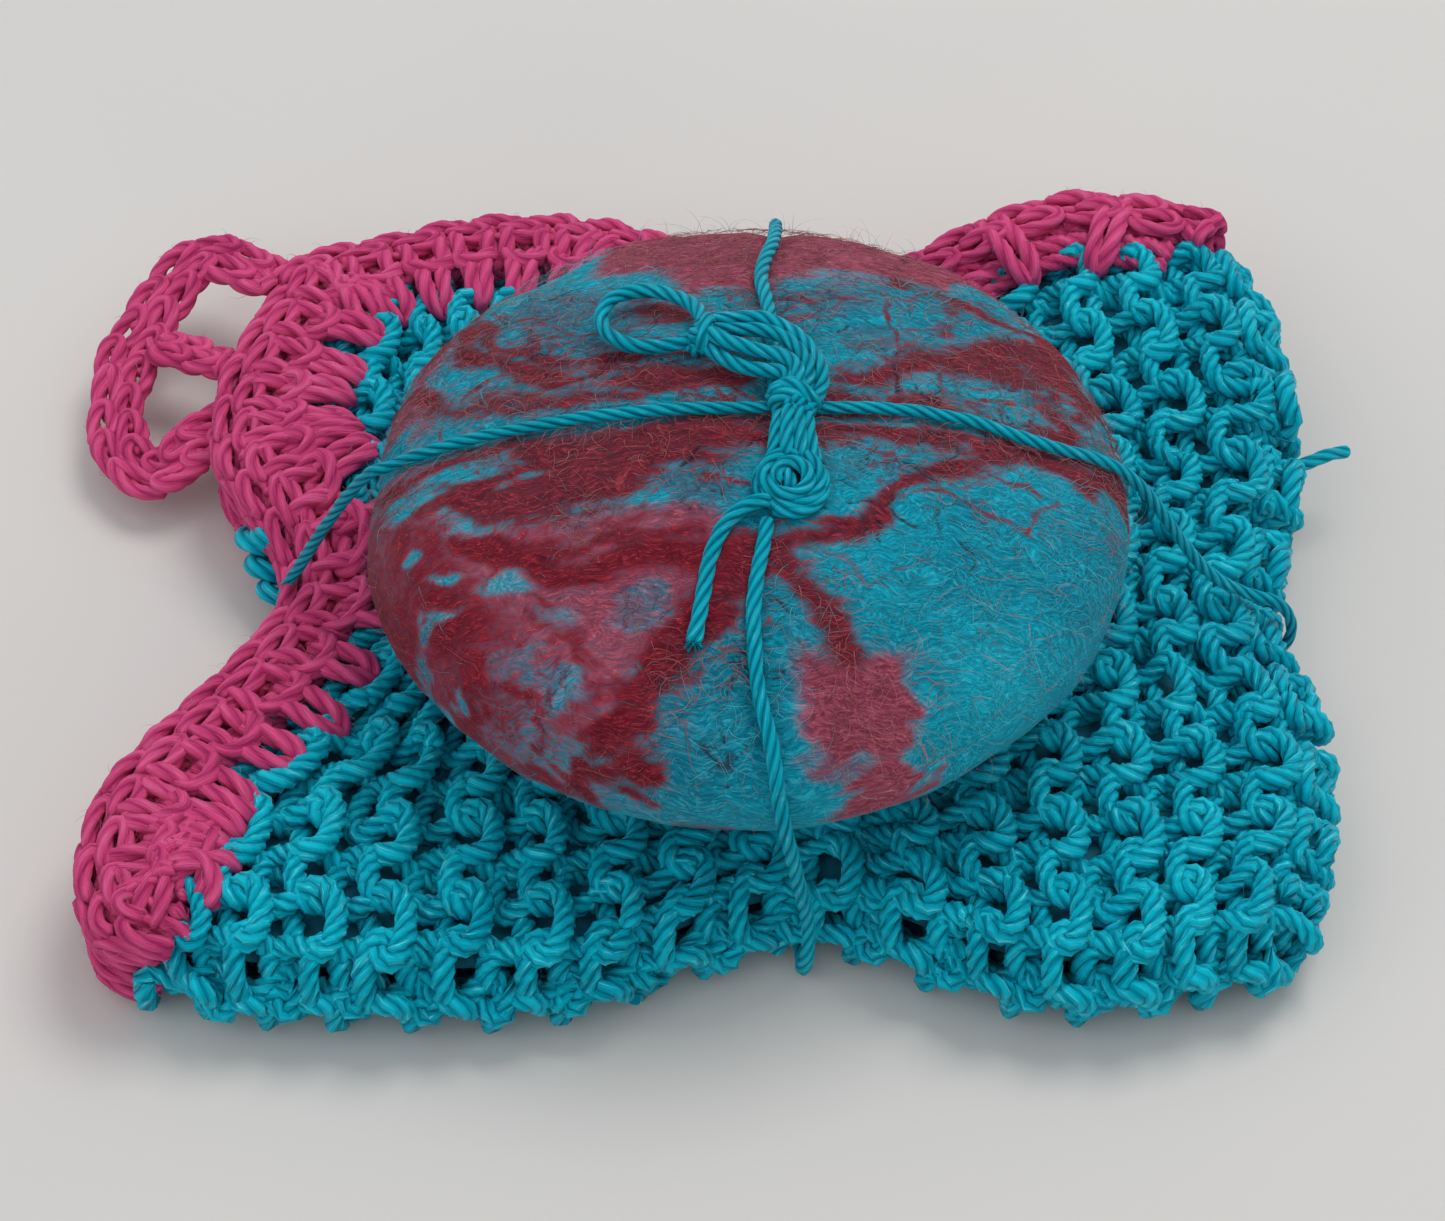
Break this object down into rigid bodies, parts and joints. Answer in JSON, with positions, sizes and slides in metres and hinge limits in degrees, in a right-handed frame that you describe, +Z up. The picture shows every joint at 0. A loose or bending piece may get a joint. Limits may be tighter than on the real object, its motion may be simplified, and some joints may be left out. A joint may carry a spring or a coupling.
{
  "type": "pin cushion",
  "caption": "Round felted wool pin cushion in teal, maroon and rose, tied with teal yarn and a bow onto a folded teal knitted cloth with pink crochet edging and a hanging loop.",
  "frame": {"origin": "on the resting plane (z = 0), directly under the middle of the felt pad", "axes": "+Z up out of the top of the pad; +X to the right and -Y to the front, as seen with the bow loop lying to the back left; crochet edging on the -X and +Y sides"},
  "size_m": [0.1611, 0.1229, 0.0522],
  "materials": {
    "core_padding": "matt, packed wool and sawdust",
    "felt_teal": "matt felted wool with loose surface fibres",
    "fleece_maroon": "matt felted wisps",
    "fleece_rose": "matt felted wisps, slightly fluffy",
    "knit_cotton": "lustrous plied cotton in garter stitch",
    "crochet_cotton": "soft matt crochet cotton",
    "tie_cotton": "lustrous plied cotton yarn"
  },
  "bodies": {
    "bundle": {"core": "core_padding", "felt_base": "felt_teal", "fleece_maroon": "fleece_maroon", "fleece_rose": "fleece_rose", "knit_ply_1": "knit_cotton", "knit_ply_2": "knit_cotton", "knit_ply_3": "knit_cotton", "knit_ply_4": "knit_cotton", "edging_left": "crochet_cotton", "edging_back": "crochet_cotton", "tie_left_to_front": "tie_cotton", "tie_right_to_back": "tie_cotton", "knot": "tie_cotton", "bow_bundle": "tie_cotton", "neck": "tie_cotton"},
    "corner_front_left": {"knit_corner_front_left": "knit_cotton", "edging_corner_front_left": "crochet_cotton"},
    "corner_front_right": {"knit_corner_front_right": "knit_cotton"},
    "corner_back_right": {"knit_corner_back_right": "knit_cotton", "edging_corner_back_right": "crochet_cotton"},
    "corner_back_left": {"knit_corner_back_left": "knit_cotton", "edging_corner_back_left": "crochet_cotton"},
    "hanging_loop": {"hanging_loop": "crochet_cotton"},
    "bow_loop": {"bow_loop": "tie_cotton"},
    "coil": {"coil": "tie_cotton"},
    "tie_tail": {"tie_tail": "tie_cotton"},
    "yarn_end": {"yarn_end": "tie_cotton"}
  },
  "joints": [
    {"name": "lift_corner_front_left", "type": "hinge", "parent": "bundle", "child": "corner_front_left", "pos_m": [-0.033, -0.026, 0.0134], "axis": [-0.6931, 0.7208, 0], "range_deg": [0, 60]},
    {"name": "lift_corner_front_right", "type": "hinge", "parent": "bundle", "child": "corner_front_right", "pos_m": [0.042, -0.03, 0.0134], "axis": [-0.7682, -0.6402, 0], "range_deg": [0, 60]},
    {"name": "lift_corner_back_right", "type": "hinge", "parent": "bundle", "child": "corner_back_right", "pos_m": [0.041, 0.037, 0.0134], "axis": [0.7612, -0.6485, 0], "range_deg": [-10, 50]},
    {"name": "lift_corner_back_left", "type": "hinge", "parent": "bundle", "child": "corner_back_left", "pos_m": [-0.035, 0.036, 0.0134], "axis": [0.7507, 0.6606, 0], "range_deg": [0, 60]},
    {"name": "swing_hanging_loop", "type": "hinge", "parent": "corner_back_left", "child": "hanging_loop", "pos_m": [-0.067, 0.045, 0.0136], "axis": [0, 1, 0], "range_deg": [0, 95]},
    {"name": "lift_bow_loop", "type": "hinge", "parent": "bundle", "child": "bow_loop", "pos_m": [-0.00665, 0.01285, 0.04935], "axis": [0.608, 0.794, 0], "range_deg": [0, 80]},
    {"name": "lift_coil", "type": "hinge", "parent": "bundle", "child": "coil", "pos_m": [0.0044, -0.0069, 0.05085], "axis": [-1, 0, 0], "range_deg": [0, 50]},
    {"name": "lift_tail", "type": "hinge", "parent": "coil", "child": "tie_tail", "pos_m": [-0.0006, -0.0138, 0.04905], "axis": [-0.9404, 0.3401, 0], "range_deg": [0, 70]},
    {"name": "flick_yarn_end", "type": "hinge", "parent": "corner_back_right", "child": "yarn_end", "pos_m": [0.0705, 0.0278, 0.0112], "axis": [0, -1, 0], "range_deg": [-8, 60]}
  ]
}
